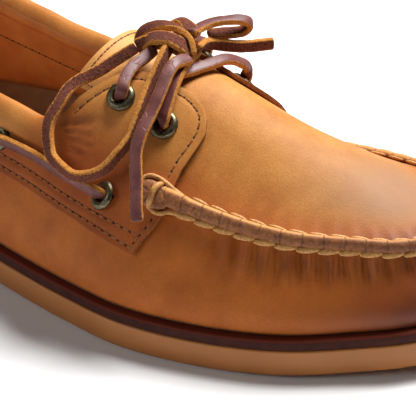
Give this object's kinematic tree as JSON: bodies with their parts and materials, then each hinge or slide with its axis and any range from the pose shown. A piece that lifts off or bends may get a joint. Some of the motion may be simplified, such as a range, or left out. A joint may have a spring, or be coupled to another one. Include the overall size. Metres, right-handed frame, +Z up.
{
  "type": "boat shoe",
  "caption": "Low leather boat shoe with a raised moccasin seam round the toe, laced eyestays, padded collar, side lace and flat gum sole.",
  "frame": {"origin": "on the ground under the middle of the sole's length and width", "axes": "+X towards the toe, +Y towards the inner side of this right shoe, +Z up"},
  "size_m": [0.297, 0.1088, 0.0895],
  "materials": {
    "gum_rubber": "matt caramel gum rubber",
    "midsole_rubber": "matt dark brown rubber",
    "insole_leather": "smooth dark sock leather",
    "upper_leather": "tan nubuck with a light burnish at the toe",
    "eyelet_brass": "antique brass, worn bright on the rim",
    "rawhide_lace": "purple-brown rawhide, orange at its cut edges"
  },
  "bodies": {
    "root": {"outsole": "gum_rubber", "midsole": "midsole_rubber", "insole": "insole_leather", "upper": "upper_leather", "saddle": "upper_leather", "collar": "upper_leather", "moc_seam": "upper_leather", "tongue": "upper_leather", "eyelet_top_outer": "eyelet_brass", "eyelet_top_inner": "eyelet_brass", "eyelet_front_outer": "eyelet_brass", "eyelet_front_inner": "eyelet_brass", "eyelet_side_1_outer": "eyelet_brass", "eyelet_side_1_inner": "eyelet_brass", "eyelet_side_2_outer": "eyelet_brass", "eyelet_side_2_inner": "eyelet_brass", "eyelet_side_3_outer": "eyelet_brass", "eyelet_side_3_inner": "eyelet_brass", "eyelet_side_4_outer": "eyelet_brass", "eyelet_side_4_inner": "eyelet_brass", "lace_cross": "rawhide_lace", "lace_rise_outer": "rawhide_lace", "lace_rise_inner": "rawhide_lace", "lace_side_front_outer": "rawhide_lace", "lace_side_front_inner": "rawhide_lace", "lace_side_back_outer": "rawhide_lace", "lace_side_back_inner": "rawhide_lace", "lace_knot": "rawhide_lace", "lace_loop_outer": "rawhide_lace", "lace_loop_inner": "rawhide_lace", "lace_end_outer": "rawhide_lace", "lace_end_inner": "rawhide_lace"}
  },
  "joints": []
}
